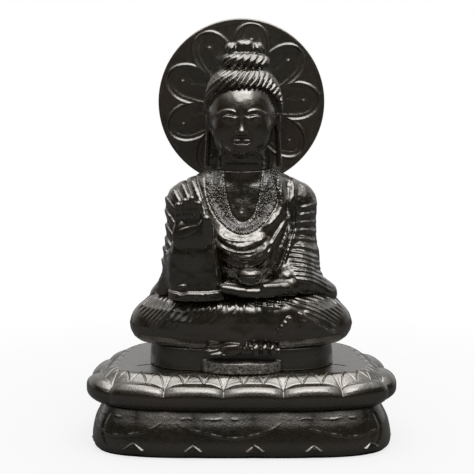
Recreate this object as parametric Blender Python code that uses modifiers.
"""Seated figure with a lift-off halo on a double lotus pedestal.

Cast stone-resin sections, pinned with steel dowels, bonded, and clamped to the pedestal by a tie rod.
Metres, +Z up. The origin is on the standing surface, below the middle of the pedestal; the figure faces -Y.
"""

import math

import bmesh
import bpy
import numpy as np
from mathutils import Matrix, Vector
from mathutils.bvhtree import BVHTree

# Fits
GAP = 0.0003  # seat or glue line between two pieces
SLIDE_GAP = 0.0004  # round the halo's tongue in its socket
CUT_OVERRUN = 0.002  # how far a cutter runs past the face that it opens

# Pedestal
FELT_RADIUS = 0.012
FELT_THICKNESS = 0.0025
FELT_MARGIN = 0.004  # from a pad's edge to the board's edge
RIM_LIFT = 0.0008  # the lower tier's rim above the standing surface
BOARD_THICKNESS = 0.005
BOARD_INSET = 0.020  # from the lower tier's outline to the board's edge
CAVITY_INSET = 0.034  # from the outline to the hollow's wall
DECK_THICKNESS = 0.010
LOWER_POWER = 4.0  # of a tier's outline: 2 is an ellipse, larger is squarer
UPPER_POWER = 3.6
PLAN_TAPER = 0.09  # share of its width that the pedestal loses over half its depth, front to back
TAPER_START = 0.5  # where it has its named width: this share of half its depth in front of the middle
PETAL_COUNT = 15
POINTS_PER_PETAL = 6
PETAL_SHIFT = 0.0115  # the petals stand this far to the right of the middle
LOWER_HALF_X = 0.155
LOWER_HALF_Y = 0.096
LOWER_HEIGHT = 0.0475
LOWER_LOBE = 0.0015  # how far a petal swells out between its notches
LOWER_BULGE = 0.0035  # how far the whole flare stands out past its outline
UPPER_HALF_X = 0.156
UPPER_HALF_Y = 0.095
UPPER_HEIGHT = 0.0360
UPPER_LOBE = 0.004
UPPER_BULGE = 0.0025
SIDE_SWELL = 1.4  # share by which the upper petals swell further at the two ends
SIDE_START = 0.86  # share of half the width beyond which they do
FOOT_INSET = 0.0008  # the lower tier's rim, in from its outline
WAIST_INSET = 0.008  # the groove between the tiers, in from the outline
LIP_RISE = 0.0028  # the middle of a petal's lip above its notches
LIP_INSET = 0.007  # from the outline to the top of the lips
SLOPE_INSET = 0.020  # from the outline to the flat deck
LIP_SHARE = 0.755  # height of the lips' notches, as a share of the upper tier's
GROOVE_DEPTH = 0.0011  # of the zigzag engraved between the lips and the deck
GROOVE_MARGIN = 0.0014  # from the zigzag's corners to the lips and the deck
GROOVE_RUNS = 3  # lengths that the zigzag is cut in
PETAL_SQUARE = 4.5  # of a petal between its notches: 2 is a round swell, larger is flatter
CUSHION_HALF_X = 0.095
CUSHION_HALF_Y = 0.0655
CUSHION_POWER = 3.6
CUSHION_HEIGHT = 0.0235
STEP_HALF = (0.0455, 0.034)  # of the step in front of the cushion
STEP_AHEAD = 0.045  # its middle in front of the figure's axis
STEP_HEIGHT = 0.012

# Legs
LEG_HALF_X = 0.117
LEG_FRONT = 0.0765  # in front of the figure's axis
LEG_BACK = 0.052
LEG_HEIGHT = 0.054
LEG_SHAPE = (
    (0.00, 0.90, 0.87, 0.90),
    (0.10, 0.965, 0.93, 0.96),
    (0.21, 0.99, 0.97, 1.00),
    (0.36, 1.00, 0.993, 1.00),
    (0.54, 0.957, 1.00, 0.98),
    (0.73, 0.889, 0.955, 0.94),
    (0.875, 0.812, 0.876, 0.885),
    (0.96, 0.745, 0.79, 0.83),
    (1.00, 0.66, 0.69, 0.76),
)  # shares of the height, the half width, the front and the back
SHIN_RADIUS = 0.021
ANKLE_RADIUS = 0.015
LEFT_KNEE_INSET = 0.022  # from the legs' half width to the middle of the knee
RIGHT_KNEE_INSET = 0.023
LEFT_SHIN = ((LEFT_KNEE_INSET - LEG_HALF_X, -0.024, 0.0196), (0.000, -0.062, 0.0126))
RIGHT_SHIN = ((LEG_HALF_X - RIGHT_KNEE_INSET, -0.026, 0.0206), (0.030, -0.060, 0.0186))
FOOT = ((0.024, -0.066, 0.0156), (0.047, -0.068, 0.0316))  # heel and toes, above the cushion
FOOT_RADII = (0.0085, 0.0065)
TOE = (0.0495, -0.0735, 0.0335)
TOE_RADIUS = 0.0038
HEM_HALF = (0.043, 0.018, 0.0085)
HEM_MIDDLE = (0.001, -0.066, 0.0026)
HEM_BACK = 0.0748  # the hem hangs below the cushion's top only in front of this

# Torso, heights above the cushion
POCKET_DEPTH = 0.010  # how deep the torso sits in the legs
WAIST_HALF_X = 0.066
CHEST_HALF_X = 0.062
TORSO_HALF_Y = 0.043
TORSO_SHIFT = 0.003  # the torso's middle behind the figure's axis
BELLY_SWELL = 0.009  # the belly in front of the trunk
BACK_FOLD = 0.003  # the folds on the back, proud of the trunk
CHEST_Z = 0.115
SHOULDER_Z = 0.148
NECK_Z = 0.180
NECK_RADIUS = 0.0245
SHOULDER_X = 0.057
ARM_RADIUS = 0.0215
ELBOW_X = 0.060
ELBOW_Z = 0.0876
SLEEVE_X = 0.068
SLEEVE_Z = 0.0626
SLEEVE_HEM_X = 0.087
SLEEVE_HEM_Z = 0.0456
CUFF = ((0.055, -0.036, 0.0736), (0.088, -0.020, 0.0546))  # the left sleeve's hanging edge
CUFF_RADIUS = 0.0085
SLEEVE_SLOPE = ((0.058, -0.018, 0.0906), (0.063, -0.044, 0.0656))  # the left sleeve in front of the elbow
SLOPE_RADII = (0.017, 0.012)
LEFT_WRIST = Vector((0.040, -0.053, 0.062))

# Folds, as (x, height above the cushion) points
BELLY_RADIUS = 0.0048
BELLY_FOLDS = (
    ((-0.027, 0.126), (-0.0185, 0.1135), (-0.002, 0.1055), (0.0145, 0.1085), (0.023, 0.116)),
    ((-0.0255, 0.1065), (-0.013, 0.1005), (0.0035, 0.098), (0.0175, 0.1025), (0.026, 0.1135)),
    ((-0.0215, 0.091), (-0.007, 0.086), (0.0045, 0.084), (0.0195, 0.089), (0.030, 0.1055)),
)
FOLD_RADIUS = 0.0042
LAPEL_FOLDS = (
    ((0.040, 0.1635), (0.043, 0.1485), (0.039, 0.1375), (0.0295, 0.1275), (0.023, 0.1215)),
    ((0.053, 0.160), (0.0535, 0.143)),
)
STRAP_FOLDS = (
    ((-0.0515, 0.164), (-0.047, 0.155), (-0.040, 0.138), (-0.037, 0.123)),
    ((-0.0445, 0.166), (-0.041, 0.157), (-0.035, 0.140), (-0.032, 0.126)),
    ((-0.061, 0.1605), (-0.057, 0.153), (-0.051, 0.137)),
)
SLEEVE_RADIUS = 0.0030
SLEEVE_FOLDS = (
    ((0.060, 0.1325), (0.069, 0.1335), (0.078, 0.135)),
    ((0.056, 0.112), (0.068, 0.114), (0.078, 0.116)),
    ((0.046, 0.095), (0.061, 0.092), (0.079, 0.083)),
    ((0.047, 0.085), (0.064, 0.080), (0.083, 0.069)),
    ((0.048, 0.076), (0.068, 0.069), (0.089, 0.058)),
    ((-0.082, 0.146), (-0.075, 0.136), (-0.068, 0.126)),
    ((-0.081, 0.120), (-0.075, 0.108), (-0.069, 0.098)),
    ((-0.081, 0.096), (-0.076, 0.086), (-0.071, 0.077)),
)
BACK_RADIUS = 0.0095
BACK_ROWS = 6
BACK_FOLD_LINE = ((-0.060, 0.159), (-0.034, 0.144), (0.000, 0.138), (0.034, 0.144), (0.060, 0.159))
BACK_STEPS = (0.017, 0.020, 0.021, 0.020, 0.017)  # from one fold down to the next, at each point
KNEE_RADIUS = 0.0030
KNEE_FOLDS = (
    ((-0.084, 0.0486), (-0.097, 0.0396), (-0.109, 0.0296)),
    ((-0.078, 0.0456), (-0.091, 0.0360), (-0.104, 0.0246)),
    ((-0.072, 0.0436), (-0.086, 0.0326), (-0.099, 0.0196)),
    ((0.066, 0.0496), (0.088, 0.0436), (0.106, 0.0326)),
    ((0.061, 0.0476), (0.084, 0.0410), (0.104, 0.0296)),
    ((0.054, 0.0446), (0.079, 0.0380), (0.102, 0.0246)),
    ((0.058, 0.0386), (0.079, 0.0276), (0.099, 0.0156)),
)

# Raised right arm, heights above the cushion
RIGHT_ELBOW = Vector((-0.062, -0.020, 0.080))
RIGHT_WRIST = Vector((-0.053, -0.066, 0.105))
FOREARM_RADIUS = 0.019
WRIST_RADIUS = 0.0125
DRAPE_HALF_X = 0.0275
DRAPE_HALF_Y = 0.0175
DRAPE_Y = -0.057
DRAPE_Z = 0.0522
DRAPE_RIM = 0.003  # the hem of the hanging sleeve, proud of it
DRAPE_RIM_HEIGHT = 0.010

# Hands
PALM_HALF = Vector((0.0165, 0.0065, 0.0160))
FINGER_COUNT = 4
FINGER_LENGTH = 0.022
FINGER_RADIUS = 0.0042
LEFT_PALM_HALF = Vector((0.020, 0.015, 0.0047))
BOWL_RADIUS = 0.0135
BOWL_HEIGHT = 0.0175

# Head, heights above the neck joint
HEAD_HALF_X = 0.0355
HEAD_HALF_Y = 0.0430
HEAD_HEIGHT = 0.1015
CHIN_HEIGHT = 0.0165
EAR_HALF = Vector((0.0045, 0.0090, 0.0280))
EAR_HEIGHT = 0.030
NOSE_RADIUS = 0.0055
NOSE_REACH = 0.0052  # its tip in front of the face
BUN_RADIUS = 0.026
BUN_HEIGHT = 0.020
TOPKNOT_RADIUS = 0.0205
TOPKNOT_HEIGHT = 0.018

# Halo and its bracket
HALO_RADIUS = 0.090
HALO_THICKNESS = 0.010
HALO_HEIGHT = 0.0665  # the disc's middle above the neck joint
HALO_BEVEL = 0.0015
TONGUE_HALF_X = 0.013
TONGUE_THICKNESS = 0.004
TONGUE_RISE = 0.058  # up the halo's back from the disc's lowest point
SOCKET_DEPTH = 0.040  # how far the tongue sits in its socket
SOCKET_WALL = 0.010
SOCKET_DROP = 0.016  # the socket's mouth below the disc's lowest point
SOCKET_FLAT = 0.007  # depth of the flat cut on the back for the socket

# Fasteners
DOWEL_RADIUS = 0.003
DOWEL_LENGTH = 0.024
ROD_RADIUS = 0.004
INSERT_RADIUS = 0.008
INSERT_LENGTH = 0.030
WASHER_RADIUS = 0.016
WASHER_THICKNESS = 0.0025
NUT_RADIUS = 0.0075
NUT_HEIGHT = 0.0065
SCREW_RADIUS = 0.0017
SCREW_HEAD_RADIUS = 0.0034
SCREW_HEAD_HEIGHT = 0.0020
BASE_SCREW_LENGTH = 0.014
HALO_SCREW_LENGTH = 0.0105
SOCKET_SCREW_BITE = 0.012  # of the socket's screws in the torso
ROUND_SIDES = 12

# Ridges of folds
FOLD_POINTS = 8
FOLD_END = 0.35  # share of its radius that a ridge keeps at its ends

# Heights of the stack
lower_z = RIM_LIFT
lower_top = lower_z + LOWER_HEIGHT
upper_z = lower_top + GAP
deck_z = upper_z + UPPER_HEIGHT
cushion_z = deck_z + GAP
seat_z = cushion_z + CUSHION_HEIGHT
leg_z = seat_z + GAP
leg_top = leg_z + LEG_HEIGHT
torso_z = leg_top - POCKET_DEPTH
neck_z = seat_z + NECK_Z
head_z = neck_z + GAP
head_top = head_z + HEAD_HEIGHT
torso_back = TORSO_SHIFT + TORSO_HALF_Y
halo_front = max(torso_back, HEAD_HALF_Y) + 3 * GAP
halo_back = halo_front + HALO_THICKNESS
halo_z = neck_z + HALO_HEIGHT
socket_mouth = halo_z - HALO_RADIUS - SOCKET_DROP


def clear_scene():
    """Removes every object, so that the model starts from nothing."""
    for old in list(bpy.data.objects):
        bpy.data.objects.remove(old, do_unlink=True)


def new_collection(name):
    """A collection under the scene's own."""
    made = bpy.data.collections.new(name)
    bpy.context.scene.collection.children.link(made)
    return made


def new_material(name, colour, roughness, metallic=0.0):
    """A Principled material of one colour."""
    made = bpy.data.materials.new(name)
    made.use_nodes = True
    shader = made.node_tree.nodes["Principled BSDF"]
    shader.inputs["Base Color"].default_value = (*colour, 1.0)
    shader.inputs["Roughness"].default_value = roughness
    shader.inputs["Metallic"].default_value = metallic
    return made


clear_scene()
PARTS = new_collection("seated_figure")
CUTTERS = new_collection("cutters")
CAST_DARK = new_material("cast_dark", (0.020, 0.016, 0.013), 0.28)
STEEL = new_material("steel", (0.55, 0.55, 0.56), 0.35, 1.0)
BRASS = new_material("brass", (0.60, 0.43, 0.18), 0.35, 1.0)
BOARD = new_material("board", (0.16, 0.10, 0.06), 0.8)
FELT = new_material("felt", (0.03, 0.04, 0.03), 0.95)


# Basic solids


def link(obj):
    """Puts an object in the parts collection alone."""
    for held in list(obj.users_collection):
        held.objects.unlink(obj)
    PARTS.objects.link(obj)
    return obj


def add_mesh(name, mesh):
    """A new object of a mesh, in the parts collection."""
    return link(bpy.data.objects.new(name, mesh))


def apply_scale(obj):
    """Moves an object's scale and turn into its mesh, so that modifier widths stay true."""
    obj.data.transform(obj.matrix_basis)
    obj.matrix_basis = Matrix.Identity(4)
    return obj


def cylinder(name, radius, start, end, sides=ROUND_SIDES):
    """A round bar between two points."""
    start, end = Vector(start), Vector(end)
    along = end - start
    bpy.ops.mesh.primitive_cylinder_add(
        vertices=sides, radius=radius, depth=along.length, location=(start + end) / 2
    )
    made = bpy.context.object
    made.name = name
    made.rotation_mode = "QUATERNION"
    made.rotation_quaternion = along.to_track_quat("Z", "Y")
    bpy.context.view_layer.update()
    return link(apply_scale(made))


def box(name, low, high):
    """A block between two corners."""
    low, high = Vector(low), Vector(high)
    bpy.ops.mesh.primitive_cube_add(size=1.0, location=(low + high) / 2)
    made = bpy.context.object
    made.name = name
    made.scale = high - low
    bpy.context.view_layer.update()
    return link(apply_scale(made))


def ellipsoid(name, middle, half, segments=16, rings=10):
    """A ball with its own half size along each axis."""
    bpy.ops.mesh.primitive_uv_sphere_add(
        segments=segments, ring_count=rings, radius=1.0, location=middle
    )
    made = bpy.context.object
    made.name = name
    made.scale = half
    bpy.context.view_layer.update()
    return link(apply_scale(made))


def turned(name, profile, sides=ROUND_SIDES):
    """A solid of revolution about +Z from (radius, height) pairs, from the top down."""
    mesh = bpy.data.meshes.new(name)
    points = [(radius, 0.0, height) for radius, height in profile]
    mesh.from_pydata(points, [(i, i + 1) for i in range(len(points) - 1)], [])
    made = add_mesh(name, mesh)
    screw = made.modifiers.new("turn", "SCREW")
    screw.steps = screw.render_steps = sides
    screw.use_merge_vertices = True
    screw.merge_threshold = 0.00002
    return solidified(made)


def solidified(obj):
    """The object as a plain mesh, with its modifiers or its curve applied."""
    bpy.context.view_layer.update()
    graph = bpy.context.evaluated_depsgraph_get()
    mesh = bpy.data.meshes.new_from_object(obj.evaluated_get(graph))
    work = bmesh.new()
    work.from_mesh(mesh)
    bmesh.ops.remove_doubles(work, verts=work.verts, dist=0.00001)
    work.to_mesh(mesh)
    work.free()
    name, matrix = obj.name, obj.matrix_world.copy()
    bpy.data.objects.remove(obj, do_unlink=True)
    made = add_mesh(name, mesh)
    made.matrix_world = matrix
    return made


def limb(name, points, radii, sides_resolution=2):
    """A tapered round limb through points, as a bevelled curve with its own radius at each point."""
    unit = 0.01
    curve = bpy.data.curves.new(name, "CURVE")
    curve.dimensions = "3D"
    curve.bevel_depth = unit
    curve.bevel_resolution = sides_resolution
    curve.use_fill_caps = True
    spline = curve.splines.new("POLY")
    spline.points.add(len(points) - 1)
    for place, point, radius in zip(spline.points, points, radii):
        place.co = (*point, 1.0)
        place.radius = radius / unit
    return solidified(link(bpy.data.objects.new(name, curve)))


def rounded_limb(name, start, end, start_radius, end_radius):
    """A straight limb with half-round ends."""
    start, end = Vector(start), Vector(end)
    along = (end - start).normalized()
    points, radii = [], []
    for turn in (-80, -45, 0):
        points.append(start + along * start_radius * math.sin(math.radians(turn)))
        radii.append(start_radius * math.cos(math.radians(turn)))
    for turn in (0, 45, 80):
        points.append(end + along * end_radius * math.sin(math.radians(turn)))
        radii.append(end_radius * math.cos(math.radians(turn)))
    return limb(name, points, radii)


# Lofts


def outline(half_x, half_y, count, power):
    """Points evenly along a rounded rectangle, from the middle of its front, towards +X."""
    turn = np.linspace(-math.pi / 2, 1.5 * math.pi, 2001)
    cos, sin = np.cos(turn), np.sin(turn)
    x = half_x * np.sign(cos) * np.abs(cos) ** (2 / power)
    y = half_y * np.sign(sin) * np.abs(sin) ** (2 / power)
    run = np.concatenate([[0.0], np.cumsum(np.hypot(np.diff(x), np.diff(y)))])
    at = np.linspace(0.0, run[-1], count, endpoint=False)
    return np.stack([np.interp(at, run, x), np.interp(at, run, y)], axis=1)


def pushed(points, distance):
    """A closed outline moved out along its own normals, by one distance or one a point."""
    along = np.roll(points, -1, axis=0) - np.roll(points, 1, axis=0)
    normal = np.stack([along[:, 1], -along[:, 0]], axis=1)
    normal /= np.linalg.norm(normal, axis=1, keepdims=True)
    return points + normal * np.reshape(distance, (-1, 1))


def level(points, height):
    """An outline at a height, or at one height a point."""
    return np.column_stack([points, np.broadcast_to(height, len(points))])


def loft(name, rings):
    """A closed solid through rings of as many points each, capped at both ends."""
    work = bmesh.new()
    rows = [[work.verts.new(point) for point in ring] for ring in rings]
    for row, above in zip(rows, rows[1:]):
        for i in range(len(row)):
            j = (i + 1) % len(row)
            work.faces.new((row[i], row[j], above[j], above[i]))
    work.faces.new(rows[0])
    work.faces.new(rows[-1])
    bmesh.ops.recalc_face_normals(work, faces=work.faces)
    mesh = bpy.data.meshes.new(name)
    work.to_mesh(mesh)
    work.free()
    return add_mesh(name, mesh)


def stacked_loft(name, stations, count, power=2.4):
    """A loft up +Z through (height, half x, half y, middle y) stations."""
    rings = []
    for height, half_x, half_y, middle in stations:
        rings.append(level(outline(half_x, half_y, count, power) + (0.0, middle), height))
    return loft(name, rings)


# Joining and cutting


def boolean(obj, other, operation, solver="EXACT"):
    """Adds a Boolean that uses another object, which is then only a tool."""
    step = obj.modifiers.new(operation.lower(), "BOOLEAN")
    step.operation = operation
    step.solver = solver
    step.object = other
    PARTS.objects.unlink(other)
    CUTTERS.objects.link(other)
    other.hide_render = True
    other.display_type = "WIRE"


def applied(obj):
    """The object with its Booleans applied, and the tools they used removed."""
    tools = [step.object for step in obj.modifiers if step.type == "BOOLEAN"]
    made = solidified(obj)
    for tool in tools:
        bpy.data.objects.remove(tool, do_unlink=True)
    return made


def joined(name, solids, solver="EXACT"):
    """One solid from several that overlap."""
    first = solids[0]
    for other in solids[1:]:
        boolean(first, other, "UNION", solver)
    made = applied(first)
    made.name = name
    return made


def cut(obj, *tools):
    """The object less the tools."""
    for tool in tools:
        boolean(obj, tool, "DIFFERENCE")
    return applied(obj)


def clear_of(obj, *others):
    """The object less its neighbours grown by the gap, so that it seats against them."""
    for other in others:
        grown = add_mesh("grown_" + other.name, other.data.copy())
        step = grown.modifiers.new("grow", "DISPLACE")
        step.mid_level = 0.0
        step.strength = 1.5 * GAP
        # A grown copy folds over itself at sharp creases, which only this solver takes.
        boolean(obj, solidified(grown), "DIFFERENCE", "MANIFOLD")
    return applied(obj)


def folds(solid, lines, radius, stand, front=True, sides_resolution=1):
    """Ridges along (x, height above the cushion) lines, laid on a solid from its front or its back."""
    shape = BVHTree.FromPolygons(
        [vertex.co for vertex in solid.data.vertices], [face.vertices for face in solid.data.polygons]
    )
    inward = Vector((0.0, 1.0 if front else -1.0, 0.0))
    made = []
    for line in lines:
        marks = np.linspace(0.0, len(line) - 1, FOLD_POINTS)
        x, height = (np.interp(marks, range(len(line)), values) for values in zip(*line))
        points = []
        for place in zip(x, np.zeros(FOLD_POINTS), seat_z + height):
            hit = shape.ray_cast(Vector(place) - inward, inward)[0]
            if hit is not None:
                points.append(hit + inward * (radius - stand))
        ends = np.minimum(np.arange(len(points)), np.arange(len(points))[::-1])
        radii = radius * np.interp(ends, (0, 2), (FOLD_END, 1.0))
        made.append(limb("fold", points, radii, sides_resolution))
    return made


def finished(obj, name, material, smooth_angle=40.0):
    """Names a part, gives it its material and shades it."""
    obj.name = obj.data.name = name
    obj.data.materials.clear()
    obj.data.materials.append(material)
    obj.data.shade_smooth()
    obj.data.set_sharp_from_angle(angle=math.radians(smooth_angle))
    return obj


# Dowels and screws


def dowel(name, start, end, radius=DOWEL_RADIUS):
    """A steel pin between two points."""
    return finished(cylinder(name, radius, start, end), name, STEEL)


def dowel_hole(start, end, radius=DOWEL_RADIUS):
    """The cutter for a pin's hole, wider and longer than the pin by the gap."""
    start, end = Vector(start), Vector(end)
    along = (end - start).normalized() * GAP
    return cylinder("hole", radius + GAP, start - along, end + along)


def screw(name, head, direction, length):
    """A pan-head screw: head is the middle of the face under its head."""
    top, edge = SCREW_HEAD_HEIGHT, SCREW_HEAD_HEIGHT * 0.45
    profile = [
        (0.0, top),
        (SCREW_HEAD_RADIUS * 0.75, top),
        (SCREW_HEAD_RADIUS, edge),
        (SCREW_HEAD_RADIUS, 0.0),
        (SCREW_RADIUS, 0.0),
        (SCREW_RADIUS, -length + SCREW_RADIUS),
        (0.0, -length),
    ]
    made = turned(name, profile, sides=10)
    turn = Vector((0.0, 0.0, -1.0)).rotation_difference(Vector(direction))
    made.matrix_world = Matrix.Translation(head) @ turn.to_matrix().to_4x4()
    bpy.context.view_layer.update()
    return finished(apply_scale(made), name, STEEL)


def screw_hole(head, direction, length):
    """The cutter for a screw's shank."""
    head, direction = Vector(head), Vector(direction).normalized()
    start = head - direction * CUT_OVERRUN
    return cylinder("hole", SCREW_RADIUS + GAP, start, head + direction * (length + GAP))


# Pedestal


def tapered(points):
    """A plan's points drawn in towards the back by PLAN_TAPER."""
    share = points[:, 1] / points[:, 1].max()
    width = 1.0 - PLAN_TAPER * (share + TAPER_START)
    return points * np.column_stack([width, np.ones(len(points))])


def petal_wave(count, half_step):
    """0 at each notch and 1 at each petal's middle, round an outline of count points."""
    place = np.arange(count) / POINTS_PER_PETAL + (0.5 if half_step else 0.0)
    across = 2.0 * np.abs(place - np.round(place))
    return 1.0 - across**PETAL_SQUARE


def petal_outline(half_x, half_y, power):
    """A tier's outline, turned so that its petals stand PETAL_SHIFT to the right."""
    count = PETAL_COUNT * POINTS_PER_PETAL
    dense = tapered(outline(half_x, half_y, count * 50, power))
    step = np.linalg.norm(dense[1] - dense[0])
    return np.roll(dense, -round(PETAL_SHIFT / step), axis=0)[::50]


def tier(name, plan, half_step, stations, side_swell=0.0):
    """A pedestal tier through (height, inset, lobe, rise) stations; lobe and rise follow the petals."""
    plain = petal_outline(*plan)
    wave = petal_wave(len(plain), half_step)
    reach = np.abs(plain[:, 0]) / np.abs(plain[:, 0]).max()
    swell = wave * (1.0 + side_swell * np.clip((reach - SIDE_START) / (1.0 - SIDE_START), 0.0, 1.0))
    rings = []
    for height, inset, lobe, rise in stations:
        rings.append(level(pushed(plain, lobe * swell - inset), height + rise * wave))
    return loft(name, rings)


def inset_block(name, plan, inset, low, high):
    """A rounded block with its edge an even distance in from a tier's plan."""
    plain = inset_ring(plan, inset, 32)
    return loft(name, [level(plain, low), level(plain, high)])


def inset_ring(plan, inset, count):
    """Points an even distance in from a tier's plan of (half x, half y, power)."""
    half_x, half_y, power = plan
    return tapered(outline(half_x - inset, half_y - inset, count, power))


LOWER_PLAN = (LOWER_HALF_X, LOWER_HALF_Y, LOWER_POWER)
UPPER_PLAN = (UPPER_HALF_X, UPPER_HALF_Y, UPPER_POWER)
board_z = FELT_THICKNESS + GAP
board_top = board_z + BOARD_THICKNESS
rebate_top = board_top + GAP
lower_deck = lower_top - DECK_THICKNESS


def base_screw_places():
    """Six places round the ledge that the base board closes against."""
    inset = (BOARD_INSET + CAVITY_INSET) / 2
    ring = inset_ring(LOWER_PLAN, inset, 6 * 8)
    return [Vector((x, y, board_z)) for x, y in ring[4::8]]


def rod_hole(low, high):
    """The tie rod's hole through a section."""
    return cylinder("hole", ROD_RADIUS + GAP, (0, 0, low - CUT_OVERRUN), (0, 0, high + CUT_OVERRUN))


def tier_dowels():
    """The two pins that key the upper tier to the lower one: (name, start, end)."""
    reach = (LOWER_HALF_X - CAVITY_INSET) / 2
    half = Vector((0.0, 0.0, DECK_THICKNESS * 0.6))
    for name, side in (("tier_dowel_left", -1), ("tier_dowel_right", 1)):
        middle = Vector((side * reach, 0.0, upper_z))
        yield name, middle - half, middle + half


def lower_lotus():
    """The lower tier: petals that hang down, hollow below a deck, with a rebate for the board."""
    height = LOWER_HEIGHT
    made = tier(
        "lower_lotus",
        LOWER_PLAN,
        True,
        [
            (lower_z, FOOT_INSET, LOWER_LOBE * 0.4, 0.0),
            (lower_z + height * 0.10, -LOWER_BULGE * 0.85, LOWER_LOBE * 0.8, 0.0),
            (lower_z + height * 0.30, -LOWER_BULGE, LOWER_LOBE * 0.9, 0.0),
            (lower_z + height * 0.62, -LOWER_BULGE * 0.1, LOWER_LOBE, 0.0),
            (lower_z + height * 0.84, WAIST_INSET * 0.5, LOWER_LOBE * 0.8, 0.0),
            (lower_top, WAIST_INSET, 0.0, 0.0),
        ],
    )
    rebate = inset_block("rebate", LOWER_PLAN, BOARD_INSET - GAP, lower_z - CUT_OVERRUN, rebate_top)
    hollow = inset_block("hollow", LOWER_PLAN, CAVITY_INSET, lower_z - CUT_OVERRUN, lower_deck)
    up = Vector((0.0, 0.0, 1.0))
    holes = [screw_hole(place, up, BASE_SCREW_LENGTH) for place in base_screw_places()]
    holes += [dowel_hole(start, end) for _, start, end in tier_dowels()]
    holes.append(rod_hole(lower_deck, lower_top))
    return finished(cut(made, rebate, hollow, *holes), "lower_lotus", CAST_DARK)


def zigzag_cutters():
    """The cutters of the zigzag round the slope, three teeth to a petal."""
    plain = petal_outline(*UPPER_PLAN)
    insets = (SLOPE_INSET - GROOVE_MARGIN, LIP_INSET + GROOVE_MARGIN)
    lip_z = upper_z + UPPER_HEIGHT * LIP_SHARE
    corners = [pushed(plain, -inset) for inset in insets]
    heights = [np.interp(inset, (LIP_INSET, SLOPE_INSET), (lip_z, deck_z)) for inset in insets]
    count = len(plain)
    run = count // GROOVE_RUNS
    for start in range(0, count, run):
        points = []
        for place in range(start, start + run + 1):
            x, y = corners[place % 2][place % count]
            points.append((x, y, heights[place % 2]))
        yield limb("groove", points, [GROOVE_DEPTH] * len(points), 0)


def upper_lotus():
    """The upper tier: petals that swell out to a lip, and an engraved slope from the lips up to the deck."""
    height, lobe, bulge = UPPER_HEIGHT, UPPER_LOBE, UPPER_BULGE
    made = tier(
        "upper_lotus",
        UPPER_PLAN,
        False,
        [
            (upper_z, WAIST_INSET * 0.75, 0.0, 0.0),
            (upper_z + height * 0.08, WAIST_INSET * 0.25, lobe * 0.6, 0.0),
            (upper_z + height * 0.25, -bulge * 0.6, lobe, 0.0),
            (upper_z + height * 0.44, -bulge, lobe, LIP_RISE * 0.35),
            (upper_z + height * 0.55, -bulge * 0.2, lobe * 1.1, LIP_RISE * 0.8),
            (upper_z + height * 0.64, LIP_INSET * 0.28, lobe, LIP_RISE),
            (upper_z + height * 0.70, LIP_INSET * 0.65, lobe * 0.55, LIP_RISE * 0.8),
            (upper_z + height * LIP_SHARE, LIP_INSET, lobe * 0.1, LIP_RISE * 0.15),
            (deck_z, SLOPE_INSET, 0.0, 0.0),
        ],
        SIDE_SWELL,
    )
    ceiling = deck_z - DECK_THICKNESS
    hollow = inset_block("hollow", UPPER_PLAN, CAVITY_INSET, upper_z - CUT_OVERRUN, ceiling)
    web = cylinder("web", WASHER_RADIUS, (0, 0, upper_z), (0, 0, deck_z - DECK_THICKNESS / 2))
    bosses = []
    for _, start, end in tier_dowels():
        top = Vector((end.x, end.y, deck_z - DECK_THICKNESS / 2))
        bosses.append(cylinder("boss", 3 * DOWEL_RADIUS, Vector((start.x, start.y, upper_z)), top))
    shell = joined("upper_lotus", [cut(made, hollow), web, *bosses])
    holes = [dowel_hole(start, end) for _, start, end in tier_dowels()]
    holes.append(rod_hole(upper_z, deck_z))
    return finished(cut(shell, *holes, *zigzag_cutters()), "upper_lotus", CAST_DARK)


def seat_cushion():
    """The flat squared seat between the deck and the crossed legs, with a low step in front."""
    edge = CUSHION_HEIGHT * 0.16
    profile = [(0.0, edge * 0.3), (edge, 0.0), (CUSHION_HEIGHT - edge, edge * 0.2), (CUSHION_HEIGHT, edge)]
    rings = []
    for height, inset in profile:
        plain = outline(CUSHION_HALF_X - inset, CUSHION_HALF_Y - inset, 40, CUSHION_POWER)
        rings.append(level(plain, cushion_z + height))
    plain = outline(*STEP_HALF, 32, 2.1) - (0.0, STEP_AHEAD)
    step = loft("step", [level(plain, cushion_z), level(plain, cushion_z + STEP_HEIGHT)])
    solid = joined("seat_cushion", [loft("seat_cushion", rings), step])
    return finished(cut(solid, rod_hole(cushion_z, seat_z)), "seat_cushion", CAST_DARK)


def base_board():
    """The board that closes the pedestal's underside."""
    made = inset_block("base_board", LOWER_PLAN, BOARD_INSET, board_z, board_top)
    up = Vector((0.0, 0.0, 1.0))
    holes = []
    for place in base_screw_places():
        low, high = place - up * CUT_OVERRUN, place + up * (SCREW_HEAD_HEIGHT + GAP)
        holes.append(cylinder("sunk", SCREW_HEAD_RADIUS + GAP, low, high))
        holes.append(screw_hole(place, up, BASE_SCREW_LENGTH))
    return finished(cut(made, *holes), "base_board", BOARD)


def base_fixings():
    """The board's six screws, sunk in it, and the four felt pads under it."""
    up = Vector((0.0, 0.0, 1.0))
    sink = SCREW_HEAD_HEIGHT + GAP / 2
    for number, place in enumerate(base_screw_places(), 1):
        screw(f"base_screw_{number}", place + up * sink, up, BASE_SCREW_LENGTH - sink)
    ring = inset_ring(LOWER_PLAN, BOARD_INSET + FELT_MARGIN + FELT_RADIUS, 4 * 8)
    for number, (x, y) in enumerate(ring[4::8], 1):
        pad = cylinder("felt_pad", FELT_RADIUS, (x, y, 0.0), (x, y, FELT_THICKNESS), sides=20)
        finished(pad, f"felt_pad_{number}", FELT)


# Figure


def above_seat(point):
    """A point given above the cushion, in the model's frame."""
    return Vector((point[0], point[1], seat_z + point[2]))


def station(height, half_x, front, back):
    """A loft's station from how far it reaches before and behind the figure's axis."""
    return height, half_x, (front + back) / 2, (back - front) / 2


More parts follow.
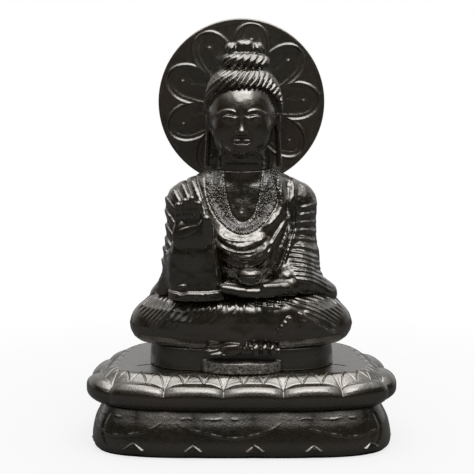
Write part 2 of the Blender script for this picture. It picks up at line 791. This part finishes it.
def leg_block():
    """The crossed legs under the robe, from knee to knee, with a foot and the robe's hem in front."""
    stations = []
    for share, wide, ahead, behind in LEG_SHAPE:
        height = leg_z + LEG_HEIGHT * share
        stations.append(station(height, LEG_HALF_X * wide, LEG_FRONT * ahead, LEG_BACK * behind))
    solids = [stacked_loft("crossed_legs", stations, 36)]
    for knee, ankle in (LEFT_SHIN, RIGHT_SHIN):
        solids.append(rounded_limb("shin", above_seat(knee), above_seat(ankle), SHIN_RADIUS, ANKLE_RADIUS))
    heel, toes = (above_seat(point) for point in FOOT)
    solids.append(rounded_limb("foot", heel, toes, *FOOT_RADII))
    solids.append(ellipsoid("toe", above_seat(TOE), Vector((1.0, 0.8, 1.05)) * TOE_RADIUS, 10, 6))
    solids.append(ellipsoid("hem", above_seat(HEM_MIDDLE), HEM_HALF))
    legs = joined("crossed_legs", solids)
    reach = 2 * LEG_HALF_X
    below = box("below", (-reach, -HEM_BACK, leg_z - 2 * HEM_HALF[2]), (reach, reach, leg_z))
    legs = cut(legs, below)
    ridges = folds(legs, KNEE_FOLDS, KNEE_RADIUS, KNEE_RADIUS * 0.7)
    return joined("crossed_legs", [legs, *ridges], "MANIFOLD")


def trunk_stations():
    """The trunk's (height, half x, half y, middle y) stations, from the waist to the neck."""
    chest_z, shoulder_z = seat_z + CHEST_Z, seat_z + SHOULDER_Z
    front, back = TORSO_HALF_Y - TORSO_SHIFT, TORSO_HALF_Y + TORSO_SHIFT - BACK_FOLD
    rise, slope, upper = chest_z - torso_z, neck_z - shoulder_z, shoulder_z - chest_z
    wide = CHEST_HALF_X
    shape = [
        (torso_z, WAIST_HALF_X, front * 1.05, back),
        (torso_z + rise * 0.40, WAIST_HALF_X * 0.93, front, back * 0.95),
        (torso_z + rise * 0.58, wide * 0.97, front + BELLY_SWELL * 0.5, back * 0.95),
        (torso_z + rise * 0.78, wide * 0.97, front + BELLY_SWELL, back * 0.95),
        (chest_z, wide * 0.97, front + BELLY_SWELL * 0.85, back * 0.97),
        (chest_z + upper * 0.65, wide, front * 0.975, back),
        (shoulder_z, wide, front * 0.86, back * 0.98),
        (shoulder_z + slope * 0.36, wide * 0.94, front * 0.75, back * 0.92),
        (shoulder_z + slope * 0.65, wide * 0.84, front * 0.66, back * 0.82),
        (shoulder_z + slope * 0.87, wide * 0.61, front * 0.61, back * 0.71),
        (neck_z, NECK_RADIUS, NECK_RADIUS - TORSO_SHIFT, NECK_RADIUS + TORSO_SHIFT),
    ]
    return [station(*row) for row in shape]


def torso_block():
    """The draped trunk with both upper arms, and the left forearm resting on the lap."""
    shift, radius = TORSO_SHIFT, ARM_RADIUS
    pieces = [stacked_loft("torso", trunk_stations(), 32, 2.3)]
    for side in (-1, 1):
        collar = above_seat((side * SHOULDER_X * 0.5, shift, SHOULDER_Z + radius * 0.63))
        shoulder = above_seat((side * SHOULDER_X, shift, SHOULDER_Z - radius * 0.25))
        elbow = above_seat((side * ELBOW_X, -shift, ELBOW_Z))
        sleeve = above_seat((side * SLEEVE_X, -radius * 0.42, SLEEVE_Z))
        hem = above_seat((side * SLEEVE_HEM_X, -radius * 0.6, SLEEVE_HEM_Z))
        pieces.append(rounded_limb("shoulder", collar, shoulder, radius * 0.88, radius))
        pieces.append(rounded_limb("upper_arm", shoulder, elbow, radius, radius * 0.95))
        pieces.append(rounded_limb("sleeve", elbow, sleeve, radius * 0.93, radius * 0.72))
        pieces.append(rounded_limb("sleeve_hem", sleeve, hem, radius * 0.72, radius * 0.5))
    left_elbow = above_seat((ELBOW_X, -shift * 2, ELBOW_Z - radius * 0.28))
    wrist = above_seat(LEFT_WRIST)
    pieces.append(rounded_limb("left_forearm", left_elbow, wrist, radius * 0.88, WRIST_RADIUS))
    pieces.append(rounded_limb("cuff", *(above_seat(point) for point in CUFF), CUFF_RADIUS, CUFF_RADIUS))
    pieces.append(rounded_limb("slope", *(above_seat(point) for point in SLEEVE_SLOPE), *SLOPE_RADII))
    body = joined("torso", pieces)
    rows = []
    for row in range(BACK_ROWS):
        rows.append([(x, height - row * step) for (x, height), step in zip(BACK_FOLD_LINE, BACK_STEPS)])
    ridges = [
        *folds(body, BELLY_FOLDS, BELLY_RADIUS, BELLY_RADIUS * 0.85),
        *folds(body, LAPEL_FOLDS, FOLD_RADIUS, FOLD_RADIUS * 0.75),
        *folds(body, STRAP_FOLDS, SLEEVE_RADIUS, SLEEVE_RADIUS * 0.85),
        *folds(body, SLEEVE_FOLDS, SLEEVE_RADIUS, SLEEVE_RADIUS * 0.7),
        *folds(body, rows, BACK_RADIUS, BACK_FOLD, front=False, sides_resolution=4),
    ]
    return joined("torso", [body, *ridges], "MANIFOLD")


def forearm_block():
    """The raised right forearm and the sleeve that hangs from it to a thick hem."""
    elbow, wrist = above_seat(RIGHT_ELBOW), above_seat(RIGHT_WRIST)
    arm = rounded_limb("right_forearm", elbow, wrist, FOREARM_RADIUS, WRIST_RADIUS)
    low_z = seat_z + DRAPE_Z
    rim_z = low_z + DRAPE_RIM_HEIGHT
    rise = wrist.z - rim_z
    stations = [
        (low_z, 1.0, DRAPE_RIM * 0.8),
        (rim_z - DRAPE_RIM * 0.5, 1.0, DRAPE_RIM),
        (rim_z, 1.0, 0.0),
        (rim_z + rise * 0.5, 0.94, 0.0),
        (wrist.z, 0.86, 0.0),
    ]
    rings = []
    for height, width, rim in stations:
        plain = outline(DRAPE_HALF_X * width + rim, DRAPE_HALF_Y * width + rim, 24, 3.2)
        middle_x = wrist.x + DRAPE_HALF_X * (width - 0.75)
        rings.append(level(plain + (middle_x, DRAPE_Y), height))
    return joined("right_forearm", [arm, loft("drape", rings)])


def finger(start, end, radius=FINGER_RADIUS):
    """One finger of a hand."""
    return rounded_limb("finger", start, end, radius, radius * 0.85)


def finger_places():
    """Where the fingers stand across a hand, in steps of half, about its middle."""
    return [(place - (FINGER_COUNT - 1) / 2) / 2 for place in range(FINGER_COUNT)]


def right_hand_block():
    """The raised open hand: palm to the front, fingers up, thumb towards the middle."""
    wrist = above_seat(RIGHT_WRIST)
    palm_middle = wrist + Vector((0.0, -PALM_HALF.y * 0.5, WRIST_RADIUS + PALM_HALF.z * 0.75))
    pieces = [ellipsoid("right_hand", palm_middle, PALM_HALF * 1.12, 14, 8)]
    for across in finger_places():
        x = palm_middle.x + across * (PALM_HALF.x - FINGER_RADIUS * 0.7)
        base = Vector((x, palm_middle.y, palm_middle.z + PALM_HALF.z * 0.35))
        length = FINGER_LENGTH * (1.0 - 0.16 * abs(across - 0.15))
        pieces.append(finger(base, base + Vector((0.0, 0.0, length))))
    thumb = palm_middle + Vector((PALM_HALF.x * 0.7, -PALM_HALF.y * 0.5, -PALM_HALF.z * 0.4))
    tip = thumb + Vector((PALM_HALF.x * 0.75, -PALM_HALF.y * 0.6, PALM_HALF.z * 1.1))
    pieces.append(finger(thumb, tip, FINGER_RADIUS * 1.15))
    return joined("right_hand", pieces)


left_palm = above_seat(LEFT_WRIST) + Vector((-LEFT_PALM_HALF.x * 1.35, -LEFT_PALM_HALF.y * 0.35, 0.0))


def left_hand_block():
    """The left hand, palm up in the lap, fingers towards the right."""
    pieces = [ellipsoid("left_hand", left_palm, LEFT_PALM_HALF * 1.1, 14, 8)]
    for across in finger_places():
        y = left_palm.y + across * (LEFT_PALM_HALF.y - FINGER_RADIUS * 0.5)
        base = Vector((left_palm.x - LEFT_PALM_HALF.x * 0.4, y, left_palm.z))
        pieces.append(finger(base, base - Vector((FINGER_LENGTH, 0.0, 0.0))))
    return joined("left_hand", pieces)


bowl_foot = left_palm + Vector((-LEFT_PALM_HALF.x * 0.2, -LEFT_PALM_HALF.y * 0.1, LEFT_PALM_HALF.z * 1.1))


def alms_bowl():
    """The round covered bowl that stands in the left palm."""
    radius, height = BOWL_RADIUS, BOWL_HEIGHT
    profile = [
        (0.0, height),
        (radius * 0.55, height * 0.95),
        (radius * 0.92, height * 0.74),
        (radius, height * 0.60),
        (radius * 0.97, height * 0.40),
        (radius * 0.80, height * 0.12),
        (radius * 0.62, 0.0),
        (0.0, 0.0),
    ]
    made = turned("alms_bowl", profile, sides=20)
    made.matrix_world = Matrix.Translation(bowl_foot + Vector((0.0, 0.0, GAP)))
    bpy.context.view_layer.update()
    return apply_scale(made)


def head_block():
    """The head with its neck, hair, long ears, bun and topknot."""
    wide, deep = HEAD_HALF_X, HEAD_HALF_Y
    crown = HEAD_HEIGHT - CHIN_HEIGHT
    stations = [
        (0.0, NECK_RADIUS * 0.96, NECK_RADIUS * 0.96, TORSO_SHIFT),
        (CHIN_HEIGHT * 0.55, NECK_RADIUS * 0.96, NECK_RADIUS, TORSO_SHIFT * 0.3),
        (CHIN_HEIGHT * 0.85, wide * 0.70, deep * 0.74, -deep * 0.15),
        (CHIN_HEIGHT + crown * 0.06, wide * 0.80, deep * 0.90, -deep * 0.18),
        (CHIN_HEIGHT + crown * 0.20, wide * 0.92, deep * 0.98, -deep * 0.12),
        (CHIN_HEIGHT + crown * 0.40, wide * 0.99, deep, -deep * 0.06),
        (CHIN_HEIGHT + crown * 0.60, wide, deep, -deep * 0.02),
        (CHIN_HEIGHT + crown * 0.76, wide * 0.97, deep * 0.97, 0.0),
        (CHIN_HEIGHT + crown * 0.88, wide * 0.86, deep * 0.86, 0.0),
        (CHIN_HEIGHT + crown * 0.96, wide * 0.64, deep * 0.64, 0.0),
        (HEAD_HEIGHT, wide * 0.34, deep * 0.34, 0.0),
    ]
    skull = stacked_loft("head", [(head_z + z, x, y, m) for z, x, y, m in stations], 24, 2.15)
    pieces = [skull]
    for side in (-1, 1):
        middle = (side * (wide + EAR_HALF.x * 0.2), EAR_HALF.y * 0.45, head_z + EAR_HEIGHT)
        pieces.append(ellipsoid("ear", middle, EAR_HALF, 10, 8))
    nose_low = Vector((0.0, -deep - NOSE_REACH, head_z + CHIN_HEIGHT + crown * 0.30))
    nose_high = Vector((0.0, -deep * 0.98, head_z + CHIN_HEIGHT + crown * 0.55))
    pieces.append(rounded_limb("nose", nose_low, nose_high, NOSE_RADIUS, NOSE_RADIUS * 0.55))
    bun_z = head_top + BUN_HEIGHT * 0.22
    pieces.append(ellipsoid("bun", (0, 0, bun_z), (BUN_RADIUS, BUN_RADIUS, BUN_HEIGHT / 2)))
    knot_z = bun_z + (BUN_HEIGHT + TOPKNOT_HEIGHT) * 0.48
    knot_half = (TOPKNOT_RADIUS, TOPKNOT_RADIUS, TOPKNOT_HEIGHT / 2)
    pieces.append(ellipsoid("topknot", (0, 0, knot_z), knot_half))
    return joined("head", pieces)


# Pins of the figure


def pin_between(first, second, share=0.5):
    """A pin of the usual length along the line between two places, centred a share of the way."""
    first, second = Vector(first), Vector(second)
    along = (second - first).normalized() * DOWEL_LENGTH / 2
    middle = first.lerp(second, share)
    return middle - along, middle + along


def figure_pins():
    """Each dowel of the figure: name to (start, end, radius)."""
    up = Vector((0.0, 0.0, 1.0))
    half = up * DOWEL_LENGTH / 2
    elbow, wrist = above_seat(RIGHT_ELBOW), above_seat(RIGHT_WRIST)
    left_wrist = above_seat(LEFT_WRIST)
    neck = Vector((0.0, TORSO_SHIFT, neck_z))
    left_waist = Vector((-(WAIST_HALF_X + INSERT_RADIUS) / 2, TORSO_SHIFT, torso_z))
    right_waist = Vector((-left_waist.x, TORSO_SHIFT, torso_z))
    shoulder_side = Vector((elbow.x, TORSO_SHIFT, elbow.z))
    palm_side = wrist + up * (WRIST_RADIUS + PALM_HALF.z)
    foot = bowl_foot
    short = up * LEFT_PALM_HALF.z
    return {
        "neck_dowel": (neck - half, neck + half, DOWEL_RADIUS),
        "waist_dowel_left": (left_waist - half, left_waist + half, DOWEL_RADIUS),
        "waist_dowel_right": (right_waist - half, right_waist + half, DOWEL_RADIUS),
        "elbow_dowel": (*pin_between(shoulder_side, elbow, 1.0), DOWEL_RADIUS),
        "right_wrist_dowel": (*pin_between(wrist, palm_side, 0.35), DOWEL_RADIUS),
        "left_wrist_dowel": (*pin_between(left_wrist, left_palm, 0.3), DOWEL_RADIUS),
        "bowl_dowel": (foot - short, foot + short, DOWEL_RADIUS * 0.7),
    }


def figure():
    """All cast sections of the figure, each cut to seat on its neighbours, with their pins."""
    pins = figure_pins()
    for name, (start, end, radius) in pins.items():
        dowel(name, start, end, radius)

    def holes(*names):
        return [dowel_hole(*pins[name]) for name in names]

    insert_hole = cylinder(
        "hole", INSERT_RADIUS + GAP, (0, 0, torso_z - CUT_OVERRUN), (0, 0, torso_z + INSERT_LENGTH + GAP)
    )
    torso = torso_block()
    legs = clear_of(cut(leg_block(), rod_hole(leg_z, leg_top)), torso)
    forearm = clear_of(forearm_block(), torso, legs)
    right_hand = clear_of(right_hand_block(), forearm, torso)
    left_hand = clear_of(left_hand_block(), torso, legs, forearm)
    bowl = clear_of(alms_bowl(), left_hand, torso)
    torso = cut(torso, insert_hole, *socket_seat())
    torso = cut(torso, *holes("neck_dowel", "waist_dowel_left", "waist_dowel_right"))
    torso = cut(torso, *holes("elbow_dowel", "left_wrist_dowel"))
    legs = cut(legs, *holes("waist_dowel_left", "waist_dowel_right"))
    forearm = cut(forearm, *holes("elbow_dowel", "right_wrist_dowel"))
    right_hand = cut(right_hand, *holes("right_wrist_dowel"))
    left_hand = cut(left_hand, *holes("left_wrist_dowel", "bowl_dowel"))
    bowl = cut(bowl, *holes("bowl_dowel"))
    head = cut(head_block(), *holes("neck_dowel"))
    named = {
        "torso": torso,
        "crossed_legs": legs,
        "right_forearm": forearm,
        "right_hand": right_hand,
        "left_hand": left_hand,
        "alms_bowl": bowl,
        "head": head,
    }
    for name, made in named.items():
        finished(made, name, CAST_DARK)


# Clamp through the pedestal


def tie_clamp():
    """The rod from the lower deck up into the torso's insert, with its nut and washer."""
    washer_top = lower_deck - GAP
    nut_top = washer_top - WASHER_THICKNESS - GAP
    nut_low = nut_top - NUT_HEIGHT
    rod_top = torso_z + INSERT_LENGTH - ROD_RADIUS
    bore_low, bore_high = nut_low - CUT_OVERRUN, washer_top + CUT_OVERRUN
    rod = cylinder("tie_rod", ROD_RADIUS, (0, 0, nut_low - ROD_RADIUS), (0, 0, rod_top))
    finished(rod, "tie_rod", STEEL)
    bore = ROD_RADIUS + GAP
    washer_low = washer_top - WASHER_THICKNESS
    washer = cylinder("washer", WASHER_RADIUS, (0, 0, washer_low), (0, 0, washer_top), 24)
    washer = cut(washer, cylinder("hole", bore, (0, 0, bore_low), (0, 0, bore_high)))
    finished(washer, "tie_washer", STEEL)
    nut = cylinder("nut", NUT_RADIUS, (0, 0, nut_low), (0, 0, nut_top), 6)
    nut = cut(nut, cylinder("hole", bore, (0, 0, bore_low), (0, 0, bore_high)))
    finished(nut, "tie_nut", STEEL, 25.0)
    insert = cylinder("insert", INSERT_RADIUS, (0, 0, torso_z), (0, 0, torso_z + INSERT_LENGTH), 16)
    insert = cut(insert, cylinder("hole", bore, (0, 0, torso_z - CUT_OVERRUN), (0, 0, rod_top + GAP)))
    finished(insert, "tie_insert", BRASS)


# Halo


socket_front = torso_back - SOCKET_FLAT + GAP
slot_front = halo_back + GAP - SLIDE_GAP
slot_back = halo_back + GAP + TONGUE_THICKNESS + SLIDE_GAP
socket_back = slot_back + SOCKET_WALL * 0.6
socket_half_x = TONGUE_HALF_X + SOCKET_WALL
socket_low = socket_mouth - SOCKET_DEPTH - SOCKET_WALL * 0.6
tongue_low = socket_mouth - SOCKET_DEPTH
tongue_high = halo_z - HALO_RADIUS + TONGUE_RISE


def socket_screw_places():
    """Four places on the socket's back, beside the tongue's slot."""
    x = TONGUE_HALF_X + SOCKET_WALL / 2
    for side in (-1, 1):
        for share in (0.22, 0.78):
            yield Vector((side * x, socket_back, socket_low + (socket_mouth - socket_low) * share))


def socket_screw_length():
    """Through the socket and into the torso."""
    return socket_back - socket_front + SOCKET_SCREW_BITE


def socket_seat():
    """Cutters for the torso's back: the flat that the socket bears on, and its screw holes."""
    grow = 4 * GAP
    low = (-socket_half_x - grow, socket_front - GAP, socket_low - grow)
    high = (socket_half_x + grow, socket_back + CUT_OVERRUN, neck_z)
    forward = Vector((0.0, -1.0, 0.0))
    holes = [screw_hole(place, forward, socket_screw_length()) for place in socket_screw_places()]
    return [box("flat", low, high), *holes]


def halo_socket():
    """The block on the figure's back that the halo's tongue drops into."""
    low = (-socket_half_x, socket_front, socket_low)
    body = box("halo_socket", low, (socket_half_x, socket_back, socket_mouth))
    half_x = TONGUE_HALF_X + SLIDE_GAP
    low = (-half_x, slot_front, tongue_low - GAP)
    slot = box("slot", low, (half_x, slot_back, socket_mouth + CUT_OVERRUN))
    forward = Vector((0.0, -1.0, 0.0))
    holes = [screw_hole(place, forward, socket_screw_length()) for place in socket_screw_places()]
    finished(cut(body, slot, *holes), "halo_socket", CAST_DARK, 25.0)
    for number, place in enumerate(socket_screw_places(), 1):
        seat = place + Vector((0.0, GAP / 2, 0.0))
        screw(f"socket_screw_{number}", seat, forward, socket_screw_length())


def halo_screw_places():
    """Three places up the tongue, over the halo's disc."""
    x = TONGUE_HALF_X * 0.55
    low = halo_z - HALO_RADIUS + TONGUE_RISE * 0.30
    high = halo_z - HALO_RADIUS + TONGUE_RISE * 0.80
    back = halo_back + GAP + TONGUE_THICKNESS
    return [Vector((0.0, back, low)), Vector((-x, back, high)), Vector((x, back, high))]


def halo_group():
    """The disc behind the head, with the steel tongue that carries it, hung from an empty."""
    anchor = bpy.data.objects.new("halo_lift", None)
    anchor.location = (0.0, halo_back, socket_mouth)
    PARTS.objects.link(anchor)
    bpy.context.view_layer.update()
    forward = Vector((0.0, -1.0, 0.0))
    holes = [screw_hole(place, forward, HALO_SCREW_LENGTH) for place in halo_screw_places()]
    disc = cylinder("halo_disc", HALO_RADIUS, (0, halo_front, halo_z), (0, halo_back, halo_z), 72)
    edge = disc.modifiers.new("edge", "BEVEL")
    edge.width = HALO_BEVEL
    edge.segments = 1
    edge.limit_method = "ANGLE"
    disc = finished(cut(solidified(disc), *holes), "halo_disc", CAST_DARK)
    low = (-TONGUE_HALF_X, halo_back + GAP, tongue_low)
    high = (TONGUE_HALF_X, halo_back + GAP + TONGUE_THICKNESS, tongue_high)
    holes = [screw_hole(place, forward, HALO_SCREW_LENGTH) for place in halo_screw_places()]
    tongue = finished(cut(box("halo_tongue", low, high), *holes), "halo_tongue", STEEL, 25.0)
    moving = [disc, tongue]
    for number, place in enumerate(halo_screw_places(), 1):
        seat = place + Vector((0.0, GAP / 2, 0.0))
        moving.append(screw(f"halo_screw_{number}", seat, forward, HALO_SCREW_LENGTH))
    for piece in moving:
        piece.parent = anchor
        piece.matrix_parent_inverse = anchor.matrix_world.inverted()


lower_lotus()
upper_lotus()
for pin_name, pin_start, pin_end in tier_dowels():
    dowel(pin_name, pin_start, pin_end)
seat_cushion()
base_board()
base_fixings()
tie_clamp()
figure()
halo_socket()
halo_group()
